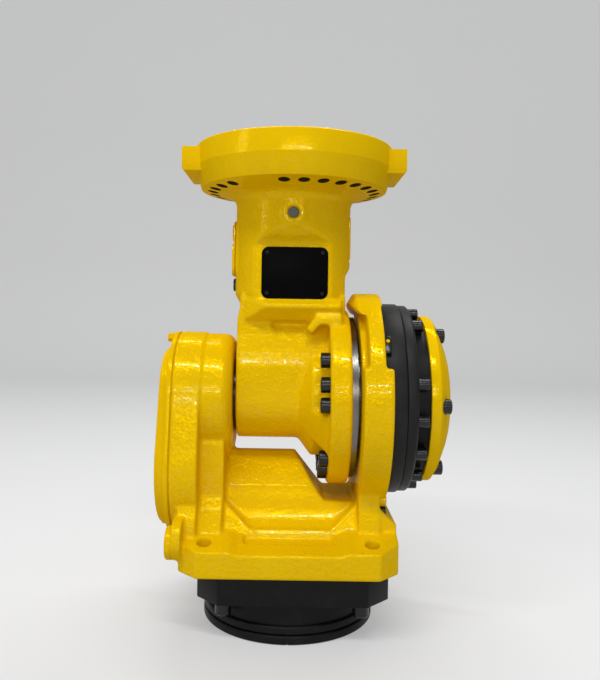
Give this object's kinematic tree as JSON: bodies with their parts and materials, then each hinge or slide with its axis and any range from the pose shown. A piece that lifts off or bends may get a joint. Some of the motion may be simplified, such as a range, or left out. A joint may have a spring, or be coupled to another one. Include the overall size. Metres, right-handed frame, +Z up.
{
  "type": "industrial robot wrist unit",
  "caption": "Wrist unit of an industrial robot arm: round arm flange and neck on a bend axis in a cast yoke, with gear case, bend reducer and turning tool flange.",
  "frame": {"origin": "centre of the tool face, on the floor that the wrist stands on", "axes": "+Z up along the tool axis into the wrist, +X along the bend axis towards the reducer, +Y away from the blank plate"},
  "size_m": [0.277, 0.208, 0.462],
  "materials": {
    "yellow_paint": "gloss enamel over a casting",
    "black_steel": "satin black oxide",
    "bare_steel": "turned bare steel",
    "plate_black": "black plate",
    "plug_grey": "matt"
  },
  "bodies": {
    "tool_flange": {"output_flange": "black_steel", "clamp_ring": "black_steel", "seal_ring": "black_steel"},
    "yoke": {"wrist_case": "black_steel", "square_plate": "black_steel", "yoke_casting": "yellow_paint", "gear_cover": "yellow_paint", "round_cap": "yellow_paint", "reducer_case": "black_steel", "reducer_flange": "black_steel", "cap_retainer": "black_steel", "end_cap": "yellow_paint", "rim_lug": "black_steel"},
    "trunk": {"trunk_casting": "yellow_paint", "mounting_flange": "yellow_paint", "output_ring": "bare_steel", "journal_ring": "bare_steel", "blank_plate": "plate_black", "neck_plug": "plug_grey", "side_cover_left": "yellow_paint", "side_cover_right": "yellow_paint"}
  },
  "joints": [
    {"name": "flange_turn", "type": "hinge", "parent": "tool_flange", "child": "yoke", "pos_m": [0, 0, 0], "axis": [0, 0, 1], "continuous": true},
    {"name": "wrist_bend", "type": "hinge", "parent": "yoke", "child": "trunk", "pos_m": [0, 0, 0.215], "axis": [1, 0, 0], "range_deg": [-120, 120]}
  ]
}
